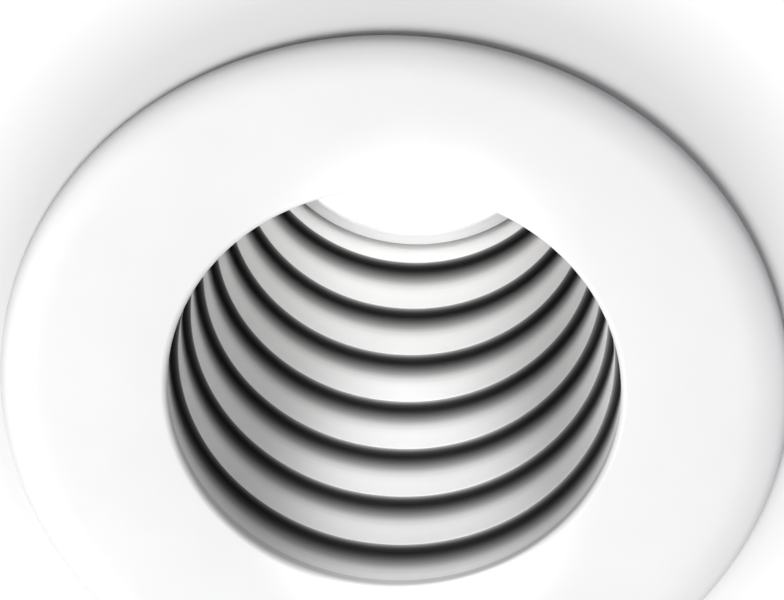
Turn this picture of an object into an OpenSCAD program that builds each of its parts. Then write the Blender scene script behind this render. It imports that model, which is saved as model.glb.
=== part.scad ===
// Recessed ceiling spotlight. A round trim ring carries a deep stepped baffle, with a
// reflector lamp at its far end. A can covers both, two sprung clips hold the light in
// the ceiling, and a connection box stands on top of the can.
// Millimetres. +Z points up into the ceiling and the light shines along -Z. The origin
// lies on the light's axis, in the plane of the ceiling's lower face.

/* [Trim ring] */
// Radius of the round mouth
mouth_r = 34.5; // [31:0.5:42]
// How far the face stands below the ceiling
face_drop = 3; // [2.8:0.1:4.5]
// Thickness of the face plate
face_t = 2; // [1.8:0.1:2.3]
// Rounding of the mouth's lip
lip_r = 1; // [0.6:0.1:1.5]
// Width of the rounded outer edge
edge_w = 7; // [4:0.5:8]
// Height of the rounded outer edge
edge_h = 1.9; // [1.6:0.1:2.2]
// Fullness of the rounded outer edge, where 1 is an ellipse and less is fuller
edge_curve = 0.8; // [0.7:0.05:1]
// Width of the rim outside the locating collar
rim_w = 9; // [8:0.5:14]
// Width of the flat land behind the rim
rim_land = 1.3; // [1:0.1:1.8]
// Gap left between the rim's land and the ceiling
rim_gap = 0.4; // [0.2:0.1:0.5]
// Gap between the can's flange and the locating collar
collar_gap = 1.4; // [1:0.1:2]
// Wall of the locating collar
collar_t = 2; // [1.6:0.1:2.6]
// Height of the collar above the ceiling's lower face
collar_h = 6; // [4:0.5:6.5]
// Thickness added to the collar's root, which centres the seal
collar_root = 0.6; // [0.4:0.1:1]
// Bevel on the collar's free edge
collar_bevel = 0.6; // [0.3:0.1:1]

/* [Ceiling seal] */
// Gap between the seal and the walls of its channel
seal_gap = 0.3; // [0.2:0.1:0.6]

/* [Stepped baffle] */
// Sheet thickness of the baffle
baffle_t = 1.2; // [0.8:0.1:1.8]
// How far the baffle's first land stands back behind the mouth
baffle_back = 0.1; // [0:0.05:0.4]
// Number of steps
step_count = 7; // [4:1:8]
// Depth of the first step behind the face
first_step = 10.8; // [10.4:0.2:16]
// Depth of each further step
step_h = 12.5; // [8:0.5:14]
// Clearance between the last land and the lamp
throat_gap = 0.58; // [0.4:0.02:1.2]
// Height of the lamp's face above the last step
lamp_back = 4.7; // [3:0.1:8]
// Length of the last land beyond the lamp's face
throat_over = 2.5; // [2:0.1:5]

/* [Lamp] */
// Radius of the lamp's front rim
lamp_r = 24.8; // [23.5:0.1:25.5]
// Height of the lamp's front rim
lamp_rim_h = 6; // [5:0.5:8]
// Wall of the lamp's front rim
lamp_rim_t = 1.8; // [1.4:0.1:2.4]
// Height of the finned body, its rim included
lamp_body_h = 33; // [28:0.5:38]
// Radius of the body at its narrow end
lamp_neck_r = 11; // [10:0.5:14]
// Number of cooling gaps round the body
fin_gap_count = 18; // [12:1:20]
// Width of a cooling gap
fin_gap_w = 1.6; // [1.2:0.1:2]
// Depth of a cooling gap
fin_depth = 3.5; // [2.5:0.1:4.5]
// Height of the body left whole above its rim
fin_rim = 3; // [2:0.5:5]
// Metal left between the board's seat and a cooling gap
fin_floor = 1.5; // [1:0.1:3]
// Thickness of the front lens
lens_t = 2; // [1.5:0.1:2.4]
// How far the lens lies behind the rim's edge
lens_back = 0.8; // [0.4:0.1:1.2]
// How far the lens's crown stands out beyond its edge
lens_crown = 0.6; // [0.2:0.1:0.7]
// Width of the ledge that the lens lies on
lens_seat = 1; // [0.6:0.1:1.4]
// Radius of the round board that carries the light sources
board_r = 14; // [11:0.5:15.5]
// Thickness of that board
board_t = 1.2; // [1:0.1:2]
// Depth of the lamp's light chamber behind the lens
chamber_h = 9; // [7:0.5:11]
// Number of light sources in a ring on the board
chip_count = 6; // [4:1:8]
// Radius of that ring
chip_ring_r = 8.4; // [7:0.2:9]
// Width of a light source
chip_w = 3; // [2:0.1:3.5]
// Height of a light source
chip_h = 0.7; // [0.5:0.1:1]
// Height of the lamp's cap
cap_h = 5.5; // [4:0.5:8]
// Radius of the lamp's cap
cap_r = 8.5; // [7:0.5:9.5]
// Width of the lamp's cap across its flats
cap_w = 12.2; // [10:0.2:13.8]
// Radius of a contact pin
lamp_pin_r = 0.75; // [0.6:0.05:0.9]
// Distance between the two contact pins
lamp_pin_pitch = 5.33; // [4:0.01:6.35]
// Free length of a contact pin
lamp_pin_len = 7; // [6:0.5:8]

/* [Lamp holder] */
// Length of the ceramic holder
holder_l = 26; // [24:0.5:30]
// Width of the ceramic holder
holder_w = 16; // [14:0.5:20]
// Height of the ceramic holder
holder_h = 13; // [11:0.5:16]
// Corner radius of the ceramic holder
holder_corner = 2; // [1:0.5:3]
// Gap between the lamp's cap and the holder
holder_gap = 0.3; // [0.2:0.1:0.8]
// Running clearance of the pins in the contacts
contact_gap = 0.05; // [0.02:0.01:0.1]
// Wall of a contact sleeve
contact_t = 0.45; // [0.3:0.05:0.6]
// Thickness of the ceramic floor that guides the pins
holder_floor = 1.6; // [1.2:0.1:2.5]
// Clearance of the pins in that floor
guide_gap = 0.25; // [0.15:0.05:0.3]
// Distance of a holder screw from the light's axis
holder_screw_x = 9; // [7.5:0.5:10]

/* [Lamp strap and retaining ring] */
// Thickness of the strap that carries the holder
strap_t = 1.2; // [1:0.1:2]
// Width of the strap
strap_w = 10; // [8:0.5:12]
// Gap between the lamp's rim and the strap's legs
strap_gap = 2.6; // [2.2:0.1:4]
// Length of the strap's feet
foot_l = 4.8; // [4.4:0.1:6]
// Rim of the baffle's top flange outside the feet
foot_rim = 0.8; // [0.4:0.1:1.2]
// Thickness of the retaining ring
ring_t = 0.8; // [0.5:0.1:1]
// Gap between the retaining ring and the lamp's rim
ring_gap = 1; // [0.6:0.1:1.4]
// Number of spring fingers on the retaining ring
finger_count = 3; // [3:1:4]
// Width of a spring finger
finger_w = 6; // [4:0.5:8]
// Height of a spring finger
finger_h = 10; // [8:0.5:12]
// Gap between a finger's tip and the lamp's body
finger_gap = 0.3; // [0.2:0.05:0.6]

/* [Can] */
// Air gap between the baffle and the can
can_gap = 5.2; // [5:0.2:10]
// Sheet thickness of the can's wall
can_t = 1; // [0.8:0.1:1.5]
// Thickness of the can's flange and of its top
can_end_t = 1.2; // [1:0.1:2]
// Rounding of the can's shoulder
shoulder_r = 3; // [2:0.5:5]
// Space between the strap and the can's top
headroom = 6.3; // [5:0.1:15]
// Number of cooling slots round the can
vent_count = 8; // [6:2:12]
// Width of a cooling slot
vent_w = 3; // [2:0.5:4]
// Length of a cooling slot
vent_l = 16; // [8:1:20]
// Distance from the can's top down to the cooling slots
vent_drop = 8; // [6:0.5:12]

/* [Screws] */
// Radius of the trim screws
screw_r = 1.5; // [1.25:0.05:1.75]
// Radius of the trim screws' heads
head_r = 2.6; // [2.3:0.1:3]
// Height of the trim screws' heads
head_h = 1.8; // [1.2:0.1:2.4]
// Length of the trim screws' shanks
screw_l = 7.6; // [6.6:0.2:8]
// Number of trim screws
screw_count = 3; // [3:1:3]
// Gap between the trim screws' heads and the can's wall
head_gap = 0.4; // [0.2:0.1:0.8]
// Angle of the first trim screw from the clips
screw_angle = 90; // [80:5:100]
// Radius of the small screws, on the strap and in the box
small_r = 1.25; // [1:0.05:1.4]
// Radius of the small screws' heads
small_head_r = 2.1; // [1.9:0.1:2.2]
// Height of the small screws' heads
small_head_h = 1.4; // [1:0.1:1.6]
// Clearance round a screw in a thread
thread_gap = 0.05; // [0.02:0.01:0.08]
// Clearance round a screw in a plain hole
hole_gap = 0.2; // [0.1:0.05:0.4]
// Depth of a blind bore beyond its screw's end
bore_end = 0.3; // [0.2:0.1:0.6]
// How far a small screw passes through the sheet that it threads into
small_over = 1.5; // [1:0.1:2.5]
// Height of the screw bosses behind the face plate
boss_h = 4.8; // [4.5:0.1:6]
// Wall of those bosses
boss_t = 1.1; // [0.9:0.1:1.4]
// Width of the slot in a screw's head
slot_w = 0.7; // [0.5:0.1:0.9]
// Depth of the slot in a clamping screw's end
slot_d = 0.8; // [0.5:0.1:1.2]

/* [Spring clips] */
// Height of the clips' pins above the can's flange
clip_rise = 20; // [17:0.5:40]
// Radius of a clip's pin
pin_r = 1.5; // [1.2:0.1:1.8]
// Height of a clip pin's rivet head
pin_head_h = 0.8; // [0.6:0.1:1.2]
// Radius of a clip pin's rivet head
pin_head_r = 2.4; // [2.1:0.1:2.8]
// Sheet thickness of the bracket
bracket_t = 1.2; // [1:0.1:1.6]
// Half angle of the bracket's curved foot round the can
bracket_half = 14; // [13:0.5:18]
// Height of the bracket's foot below the pin
bracket_down = 11.5; // [10.5:0.5:13]
// Height of the bracket's foot above the pin
bracket_up = 12; // [11.5:0.5:18]
// Radius of the bracket's rounded ears
ear_r = 3.5; // [3:0.1:3.8]
// Running gap between an ear and the arm's side
ear_gap = 0.3; // [0.2:0.05:0.4]
// Radius of a rivet
rivet_r = 1.4; // [1.2:0.1:1.6]
// Radius of a rivet's head
rivet_head_r = 2.2; // [2:0.1:2.4]
// Height of a rivet's head
rivet_head_h = 0.8; // [0.6:0.1:1]
// Distance of a rivet's head from the bracket's edge
rivet_edge = 1.2; // [1:0.1:1.6]
// Gap between a rivet's flat inner head and the can's round wall
rivet_sag = 0.15; // [0.1:0.05:0.3]
// Wire diameter of the torsion spring
wire_d = 1.2; // [1:0.1:1.4]
// Number of whole turns of the torsion spring
coil_turns = 4; // [3:1:4]
// Gap between the pin and the spring's turns
coil_in_gap = 0.4; // [0.3:0.05:0.6]
// Gap between the spring's turns and the bracket's foot
coil_out_gap = 0.4; // [0.3:0.05:0.8]
// Width over the spring's turns
coil_w = 8.4; // [8:0.1:8.8]
// Length of the spring's leg on the bracket
leg_up = 10; // [6:0.5:11]
// Length of the spring's leg on the arm
leg_out = 20; // [12:1:24]
// Width of the arm
arm_w = 13; // [12.6:0.1:13.4]
// Length of the arm from its pin to its tip
arm_l = 37; // [32:1:60]
// Sheet thickness of the arm
arm_t = 1.2; // [1:0.1:1.4]
// Gap between the spring's leg and the arm
leg_gap = 0.08; // [0.05:0.01:0.2]
// Gap between the spring's turns and the arm's plate
plate_gap = 0.9; // [0.7:0.1:1.4]
// Length of the arm's cheeks along its plate
cheek_l = 4; // [3:0.5:6]
// Clearance of the arm's bores on the pin
run_gap = 0.05; // [0.02:0.01:0.1]
// Wall round the arm's bores
hub_t = 1.15; // [0.9:0.05:1.2]
// How far the arm hangs below level on its stop
arm_droop = 15; // [8:1:20]
// How far the arm folds past upright
fold_past = 8; // [6:1:9]
// Angle below level at which the arm's heel meets the bracket
heel_angle = 35; // [30:1:38]
// Gap between the arm's heel and the bracket on the stop
heel_gap = 0.15; // [0.1:0.05:0.3]
// Length of the soft pad on the arm's tip
pad_l = 12; // [8:0.5:16]
// Wall of the soft pad
pad_t = 1.1; // [0.8:0.1:1.5]

/* [Connection box] */
// Length of the box
box_l = 56; // [52:1:58]
// Width of the box
box_w = 42; // [40:1:44]
// Height of the box below its lid
box_h = 22; // [21.5:0.5:28]
// Wall of the box
box_t = 1.6; // [1.2:0.1:2.2]
// Corner radius of the box
box_corner = 3; // [2.4:0.1:5]
// Thickness of the lid
lid_t = 2; // [1.6:0.1:2.8]
// Gap between the lid and the box
lid_gap = 0.2; // [0.15:0.05:0.3]
// Depth of the rib under the lid
lid_rib = 1.5; // [1:0.1:2]
// Gap between that rib and the box's walls
rib_gap = 0.3; // [0.2:0.05:0.5]
// Radius of the lid's hinge pin
hinge_r = 1; // [0.8:0.1:1.2]
// Radius of the hinge pin's heads
hinge_head_r = 1.4; // [1.3:0.1:1.8]
// Height of the hinge pin's heads
hinge_head_h = 0.6; // [0.4:0.1:0.8]
// Wall round the hinge pin
knuckle_t = 1.2; // [1:0.1:1.4]
// Gap between the hinge's knuckles
knuckle_gap = 0.4; // [0.3:0.1:0.6]
// Width of the lid's knuckle
knuckle_w = 14; // [10:1:16]
// Width of each knuckle on the box
side_knuckle_w = 6; // [5:0.5:7]
// Width of the lid's finger tab
tab_w = 12; // [8:1:16]
// Height of the lid's finger tab
tab_h = 2.4; // [1.6:0.1:2.5]
// Thickness of the lid's finger tab
tab_t = 1.6; // [1.2:0.1:2]
// Gap between that tab and the box
tab_gap = 0.3; // [0.2:0.05:0.5]
// Distance of the box's screws from its ends
box_screw_end = 9; // [8:0.5:9.5]
// Distance of the outer screws from the box's sides
box_screw_side = 6; // [5:0.5:6.5]

/* [Box fittings] */
// Bore for the supply cable through the gland
gland_bore = 3.5; // [3:0.1:3.8]
// How much wider that bore is inside the box's wall
gland_play = 0.6; // [0.3:0.1:0.8]
// Radius of the gland's thread
gland_r = 6; // [5.6:0.1:6.2]
// Clearance of the gland's thread in the box's wall
gland_gap = 0.1; // [0.05:0.05:0.2]
// Radius over the corners of the gland's hexagon
gland_hex_r = 8.4; // [8:0.1:8.6]
// Height of the gland's centre above the box's floor
gland_rise = 10.4; // [10.2:0.1:10.4]
// Thickness of the gland's hexagon
gland_hex_t = 2.6; // [2:0.1:3.5]
// Length of the gland's outer thread
gland_thread_l = 6; // [5:0.5:8]
// Thickness of the gland's nut inside the box
locknut_t = 2.4; // [2:0.1:2.8]
// How far the gland's thread passes that nut
stub_over = 0.6; // [0.4:0.1:1]
// Length of the gland's domed nut
dome_l = 10; // [9:0.5:12]
// Length of that nut's hexagon
dome_hex_l = 5; // [4:0.5:6]
// Rounding of that nut's end
dome_round = 3.2; // [2:0.2:3.4]
// Gap between that nut and the gland's hexagon
nut_gap = 0.3; // [0.2:0.1:0.5]
// Length of the soft seal in the gland
gland_seal_l = 3; // [2.4:0.1:3.2]
// Gap round the soft seal
gland_seal_gap = 0.35; // [0.2:0.05:0.5]
// Length of the terminal block
block_l = 14; // [12:0.5:15]
// Width of the terminal block
block_w = 22; // [20:1:24]
// Height of the terminal block
block_h = 12; // [11:0.5:14]
// Gap between the terminal block and the gland's thread
block_gap = 0.9; // [0.5:0.1:1.4]
// Floor left under the terminal block's screw
block_skin = 0.4; // [0.3:0.1:0.6]
// Distance of each terminal from the block's middle
pole_y = 5.5; // [5:0.1:6]
// Outer radius of a terminal sleeve
sleeve_r = 2.2; // [2:0.1:2.4]
// Bore of a terminal sleeve
sleeve_bore = 1.3; // [1.1:0.05:1.4]
// How far a terminal sleeve lies inside the block's ends
sleeve_back = 1.2; // [0.8:0.1:1.6]
// Distance of each clamping screw from its terminal's middle
clamp_x = 3.2; // [2.8:0.1:3.4]
// Clearance round a clamping screw in the block
clamp_gap = 0.4; // [0.2:0.1:0.5]
// How far a clamping screw's end lies below the block's top
clamp_sink = 1; // [0.5:0.1:2]
// Radius of the opening for the leads in the can's top
lead_hole_r = 5; // [4.6:0.1:5.4]
// Width of the grommet's lips beyond that opening
lip_w = 1.2; // [1:0.1:1.6]
// Thickness of the grommet's lips
lip_t = 1.1; // [0.8:0.1:1.4]
// Radius of a lead
lead_r = 0.9; // [0.7:0.05:0.95]
// Clearance of a lead in the grommet
grommet_gap = 0.1; // [0.05:0.05:0.2]
// Clearance of a lead in the strap
lead_gap = 0.5; // [0.3:0.1:0.8]
// Straight length of a lead before its bend and after it
lead_straight = 0.5; // [0.3:0.1:1]

/* [Hidden] */
$fn = 96;

// Overlap that joins two solids of one piece, and overrun of a cutting tool
join = 0.4;
over = 1;

// Heights, from the face upwards
z_face = -face_drop;
z_rear = z_face + face_t;
z_boss = z_rear + boss_h;
z_can = z_boss + baffle_t;
z_first = z_face + first_step;
z_last = z_first + (step_count - 1) * step_h;
z_lamp = z_last + lamp_back;
z_throat = z_lamp + throat_over;
z_ring = z_throat + baffle_t;
z_foot = z_ring + ring_t;
z_neck = z_lamp + lamp_body_h;
z_cap = z_neck + cap_h;
z_holder = z_cap + holder_gap;
z_strap = z_holder + holder_h;
z_roof = z_strap + strap_t + headroom;
z_top = z_roof + can_end_t;
z_floor = z_top + box_t;
z_lid = z_top + box_h;

// Radii, from the mouth outwards
land_r = mouth_r + baffle_back;
throat_r = lamp_r + throat_gap;
step_w = (land_r - throat_r) / step_count;
can_in = land_r + baffle_t + can_gap;
can_r = can_in + can_t;
screw_x = can_r + head_gap + head_r;
flange_r = screw_x + head_r;
boss_r = screw_r + boss_t;
collar_in = flange_r + collar_gap;
collar_r = collar_in + collar_t;
rim_r = collar_r + rim_w;
channel_r = rim_r - rim_land;
leg_in = lamp_r + strap_gap;
leg_x = leg_in + strap_t;
foot_x = leg_x + foot_l;
foot_screw_x = leg_x + foot_l / 2;
top_flange_r = norm([foot_x, strap_w / 2]) + foot_rim;
ring_in = lamp_r + ring_gap;

// Spring clips, measured from the pin
coil_r = pin_r + coil_in_gap + wire_d / 2;
foot_r = can_r + bracket_t;
pin_x = foot_r + coil_out_gap + coil_r + wire_d / 2;
pin_z = z_can + clip_rise;
ear_in = arm_w / 2 + ear_gap;
ear_out = ear_in + bracket_t;
hub_r = pin_r + run_gap + hub_t;
plate_top = -(coil_r + wire_d / 2 + leg_gap);
plate_low = plate_top - arm_t;
plate_x = coil_r + wire_d / 2 + plate_gap;
heel_r = (pin_x - foot_r - heel_gap) / cos(heel_angle);
coil_y = (coil_w - wire_d) / 2;

// Connection box
hinge_x = -(box_l / 2 + hinge_r + knuckle_t + knuckle_gap);
gland_z = z_top + gland_rise;
stub_r = gland_r - gland_gap;
stub_in = box_l / 2 - box_t - locknut_t - stub_over;
hex_x = box_l / 2 + gland_hex_t;
thread_x = hex_x + gland_thread_l;
dome_x = hex_x + dome_l;
block_x = stub_in - block_gap - block_l;
block_z = z_floor + block_h / 2;
pole_x = block_x + block_l / 2;
box_screw_x = box_l / 2 - box_screw_end;
box_screw_y = box_w / 2 - box_screw_side;
box_screw_spots = [[-box_screw_x, 0], [box_screw_x, box_screw_y], [box_screw_x, -box_screw_y]];

// Radius and height of each step of the baffle
function land(k) = land_r - k * step_w;
function step_z(k) = z_first + k * step_h;

// Radius of the lamp's tapering body at a height
function body_r(z) =
    lamp_r - (lamp_r - lamp_neck_r) * (z - z_lamp - lamp_rim_h) / (lamp_body_h - lamp_rim_h);

// A round tube along a row of points that keep off the Y direction
function unit(v) = v / norm(v);
function along(p, i) = unit(p[min(i + 1, len(p) - 1)] - p[max(i - 1, 0)]);
function ring_at(p, i, r, sides) =
    let (t = along(p, i), a = unit(cross(t, [0, 1, 0])), b = cross(a, t))
    [for (s = [0 : sides - 1]) p[i] + r * (cos(360 * s / sides) * a + sin(360 * s / sides) * b)];

module tube(p, r, sides) {
    last = len(p) - 1;
    rings = [for (i = [0 : last]) each ring_at(p, i, r, sides)];
    walls = [
        for (i = [0 : last - 1], s = [0 : sides - 1])
        let (a = i * sides + s, b = i * sides + (s + 1) % sides)
        each [[a, b, b + sides], [a, b + sides, a + sides]]
    ];
    caps = [
        for (s = [1 : sides - 2])
        each [[0, s + 1, s], [last * sides, last * sides + s, last * sides + s + 1]]
    ];
    polyhedron(rings, concat(walls, caps));
}

// Least distance between two stretches of a wound tube that lie more than half a turn apart
function least_gap(p, d, apart) =
    min([for (i = [0 : len(p) - 1 - apart], j = [i + apart : len(p) - 1]) norm(p[i] - p[j])]) - d;

// The torsion spring's middle line: a leg down the bracket, the turns, a leg along the arm
coil_rings = 8;
leg_rings = 3;
wire_sides = 6;
sweep = 360 * coil_turns + 90 - arm_droop;
ring_count = round(sweep * coil_rings / 360);
coil_end = 180 + sweep;
coil_line = [
    for (i = [leg_rings : -1 : 1]) [-coil_r, -coil_y, leg_up * i / leg_rings],
    for (i = [0 : ring_count])
    let (a = 180 + sweep * i / ring_count)
    [coil_r * cos(a), -coil_y + 2 * coil_y * i / ring_count, coil_r * sin(a)],
    for (i = [1 : leg_rings])
    let (out = leg_out * i / leg_rings)
    [
        coil_r * cos(coil_end) + cos(arm_droop) * out, coil_y,
        coil_r * sin(coil_end) - sin(arm_droop) * out
    ]
];
echo(least_gap_of_spring = least_gap(coil_line, wire_d, coil_rings / 2 + 1));

// A flat shape with round corners, from plain squares and circles
module round_rect(l, w, r) {
    square([l - 2 * r, w], center = true);
    square([l, w - 2 * r], center = true);
    for (x = [-1, 1], y = [-1, 1]) translate([x * (l / 2 - r), y * (w / 2 - r)]) circle(r);
}

// Places on the light: round the trim screws, along +X, and on one clip
module at_screws() {
    for (i = [0 : screw_count - 1])
        rotate([0, 0, screw_angle + i * 360 / screw_count]) translate([screw_x, 0, 0]) children();
}

module along_x(x) {
    translate([x, 0, 0]) rotate([0, 90, 0]) children();
}

module at_clip(side) {
    rotate([0, 0, side > 0 ? 0 : 180]) translate([pin_x, 0, pin_z]) children();
}

// A flat outline in the XZ plane, made as wide as w along Y about y
module slice_y(y, w) {
    translate([0, y + w / 2, 0]) rotate([90, 0, 0]) linear_extrude(w) children();
}

// A slotted round-head screw that points down, with its seat at z = 0
module screw(r, hr, hh, l) {
    difference() {
        union() {
            cylinder(r = hr, h = hh);
            translate([0, 0, -l]) cylinder(r = r, h = l + hh / 2);
        }
        translate([-hr - over, -slot_w / 2, hh / 2]) cube([2 * (hr + over), slot_w, hh]);
    }
}

module bezel() {
    lip = [
        for (a = [180 : 22.5 : 270])
        [mouth_r + lip_r + lip_r * cos(a), z_face + lip_r + lip_r * sin(a)]
    ];
    dome = [
        for (i = [1 : 14])
        let (a = 90 * i / 14)
        [rim_r - edge_w + edge_w * pow(sin(a), edge_curve), z_face + edge_h * (1 - cos(a))]
    ];
    back = [
        [rim_r, -rim_gap], [channel_r, -rim_gap], [channel_r, z_rear],
        [collar_r + collar_root, z_rear], [collar_r + collar_root, 0], [collar_r, 0],
        [collar_r, collar_h - collar_bevel], [collar_r - collar_bevel, collar_h],
        [collar_in, collar_h], [collar_in, z_rear], [mouth_r, z_rear]
    ];
    color("white") difference() {
        union() {
            rotate_extrude() polygon(concat(lip, dome, back));
            at_screws() translate([0, 0, z_rear - join]) cylinder(r = boss_r, h = boss_h + join);
        }
        at_screws() translate([0, 0, z_can + can_end_t - screw_l - bore_end])
            cylinder(r = screw_r + thread_gap, h = screw_l + over);
    }
}

module ceiling_gasket() {
    inner = collar_r + collar_root + seal_gap;
    color("dimgray") translate([0, 0, z_rear]) difference() {
        cylinder(r = channel_r - seal_gap, h = -z_rear);
        translate([0, 0, -over]) cylinder(r = inner, h = 2 * over - z_rear);
    }
}

module baffle() {
    inner = [
        [land(0), z_rear],
        for (k = [0 : step_count - 1]) each [[land(k), step_z(k)], [land(k + 1), step_z(k)]],
        [land(step_count), z_ring]
    ];
    outer = [
        [top_flange_r, z_ring], [top_flange_r, z_throat], [throat_r + baffle_t, z_throat],
        for (k = [step_count - 1 : -1 : 0])
        each [[land(k + 1) + baffle_t, step_z(k) + baffle_t], [land(k) + baffle_t, step_z(k) + baffle_t]],
        [land(0) + baffle_t, z_can], [flange_r, z_can], [flange_r, z_boss],
        [land(0) + baffle_t, z_boss], [land(0) + baffle_t, z_rear]
    ];
    color("whitesmoke") difference() {
        rotate_extrude() polygon(concat(inner, outer));
        at_screws() translate([0, 0, z_boss - over])
            cylinder(r = screw_r + hole_gap, h = baffle_t + 2 * over);
        for (x = [-1, 1]) translate([x * foot_screw_x, 0, z_throat - over])
            cylinder(r = small_r + thread_gap, h = baffle_t + 2 * over);
    }
}

module lamp_retainer() {
    tip_z = z_foot + finger_h;
    tip_r = body_r(tip_z) + finger_gap;
    color("silver") {
        difference() {
            union() {
                translate([0, 0, z_ring]) cylinder(r = top_flange_r, h = ring_t);
                for (i = [0 : finger_count - 1]) rotate([0, 0, 90 + i * 360 / finger_count])
                    slice_y(0, finger_w) polygon([
                        [ring_in + ring_t, z_ring], [ring_in + 2 * ring_t, z_ring],
                        [tip_r + ring_t, tip_z], [tip_r, tip_z]
                    ]);
            }
            translate([0, 0, z_ring - over]) cylinder(r = ring_in, h = ring_t + over);
            for (x = [-1, 1]) translate([x * foot_screw_x, 0, z_ring - over])
                cylinder(r = small_r + hole_gap, h = ring_t + 2 * over);
        }
    }
}

module holder_strap() {
    color("silver") difference() {
        slice_y(0, strap_w) {
            translate([-leg_x, z_strap]) square([2 * leg_x, strap_t]);
            for (x = [-1, 1]) {
                translate([x > 0 ? leg_in : -leg_x, z_foot])
                    square([strap_t, z_strap + strap_t - z_foot]);
                translate([x > 0 ? leg_in : -foot_x, z_foot]) square([foot_x - leg_in, strap_t]);
            }
        }
        for (x = [-1, 1]) {
            translate([x * foot_screw_x, 0, z_foot - over])
                cylinder(r = small_r + hole_gap, h = strap_t + 2 * over);
            translate([x * holder_screw_x, 0, z_strap - over])
                cylinder(r = small_r + hole_gap, h = strap_t + 2 * over);
            translate([0, x * lamp_pin_pitch / 2, z_strap - over])
                cylinder(r = lead_r + lead_gap, h = strap_t + 2 * over);
        }
    }
}

module strap_screws() {
    color("lightgray") for (x = [-1, 1])
        translate([x * foot_screw_x, 0, z_foot + strap_t])
            screw(small_r, small_head_r, small_head_h, strap_t + ring_t + baffle_t + small_over);
}

module can() {
    arc = [
        for (a = [0 : 18 : 90])
        [can_r - shoulder_r + shoulder_r * cos(a), z_top - shoulder_r + shoulder_r * sin(a)]
    ];
    inner_r = shoulder_r - can_t;
    inner_arc = [
        for (a = [90 : -18 : 0])
        [can_in - inner_r + inner_r * cos(a), z_roof - inner_r + inner_r * sin(a)]
    ];
    outline = concat(
        [[can_in, z_can], [flange_r, z_can], [flange_r, z_can + can_end_t], [can_r, z_can + can_end_t]],
        arc, [[0, z_top], [0, z_roof]], inner_arc
    );
    color("lightgray") difference() {
        rotate_extrude() polygon(outline);
        at_screws() translate([0, 0, z_can - over])
            cylinder(r = screw_r + hole_gap, h = can_end_t + 2 * over);
        for (i = [0 : vent_count - 1]) rotate([0, 0, (i + 0.5) * 360 / vent_count])
            translate([can_in - over, 0, z_top - vent_drop - vent_l]) {
                translate([0, -vent_w / 2, vent_w / 2]) cube([can_t + 2 * over, vent_w, vent_l - vent_w]);
                for (z = [vent_w / 2, vent_l - vent_w / 2])
                    translate([0, 0, z]) rotate([0, 90, 0]) cylinder(d = vent_w, h = can_t + 2 * over);
            }
        for (side = [-1, 1]) at_clip(side) rivet_spots() along_x(-pin_x + can_in - over)
            cylinder(r = rivet_r, h = can_t + 2 * over);
        translate([0, 0, z_roof - over]) cylinder(r = lead_hole_r, h = can_end_t + 2 * over);
        for (p = box_screw_spots) translate([p[0], p[1], z_roof - over])
            cylinder(r = small_r + thread_gap, h = can_end_t + 2 * over);
    }
}

module can_screws() {
    color("silver") at_screws() translate([0, 0, z_can + can_end_t])
        screw(screw_r, head_r, head_h, screw_l);
}

module lamp_holder() {
    color("ivory") difference() {
        translate([0, 0, z_holder]) linear_extrude(holder_h)
            round_rect(holder_l, holder_w, holder_corner);
        for (y = [-1, 1]) translate([0, y * lamp_pin_pitch / 2, z_holder]) {
            translate([0, 0, -over]) cylinder(r = lamp_pin_r + guide_gap, h = holder_floor + 2 * over);
            translate([0, 0, holder_floor])
                cylinder(r = lamp_pin_r + contact_gap + contact_t, h = holder_h);
        }
        for (x = [-1, 1]) translate([x * holder_screw_x, 0, z_holder + holder_h / 2])
            cylinder(r = small_r + thread_gap, h = holder_h);
    }
}

module holder_contacts() {
    bore = lamp_pin_r + contact_gap;
    color("goldenrod") for (y = [-1, 1])
        translate([0, y * lamp_pin_pitch / 2, z_holder + holder_floor]) difference() {
            cylinder(r = bore + contact_t, h = holder_h - holder_floor);
            translate([0, 0, -over]) cylinder(r = bore, h = holder_h);
        }
}

module holder_screws() {
    color("lightgray") for (x = [-1, 1])
        translate([x * holder_screw_x, 0, z_strap + strap_t])
            screw(small_r, small_head_r, small_head_h, strap_t + holder_h / 2 - bore_end);
}

module lamp_lens() {
    r = lamp_r - lamp_rim_t;
    crown = [
        for (i = [0 : 8]) [r * i / 8, z_lamp + lens_back - lens_crown * (1 - pow(i / 8, 2))]
    ];
    color("lightyellow") rotate_extrude()
        polygon(concat(crown, [[r, z_lamp + lens_back + lens_t], [0, z_lamp + lens_back + lens_t]]));
}

module lamp_body() {
    z_seat = z_lamp + lens_back + lens_t;
    z_board = z_seat + chamber_h;
    seat_r = lamp_r - lamp_rim_t;
    outline = [
        [seat_r, z_lamp], [lamp_r, z_lamp], [lamp_r, z_lamp + lamp_rim_h],
        [lamp_neck_r, z_neck], [0, z_neck], [0, z_board + board_t], [board_r, z_board + board_t],
        [board_r, z_board], [seat_r - lens_seat, z_seat], [seat_r, z_seat]
    ];
    color("gray") difference() {
        rotate_extrude() polygon(outline);
        for (i = [0 : fin_gap_count - 1]) rotate([0, 0, (i + 0.5) * 360 / fin_gap_count])
            translate([0, -fin_gap_w / 2, 0]) rotate([90, 0, 0]) translate([0, 0, -fin_gap_w])
                linear_extrude(fin_gap_w) polygon([
                    [body_r(z_board) - fin_depth, z_board + fin_floor],
                    [lamp_r + over, z_lamp + lamp_rim_h + fin_rim],
                    [lamp_r + over, z_neck + over], [lamp_neck_r - fin_depth, z_neck + over]
                ]);
    }
}

module led_board() {
    z_board = z_lamp + lens_back + lens_t + chamber_h;
    color("khaki") {
        translate([0, 0, z_board]) cylinder(r = board_r, h = board_t);
        for (i = [0 : chip_count - 1]) rotate([0, 0, i * 360 / chip_count])
            translate([chip_ring_r - chip_w / 2, -chip_w / 2, z_board - chip_h])
                cube([chip_w, chip_w, chip_h + join]);
    }
}

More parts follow.
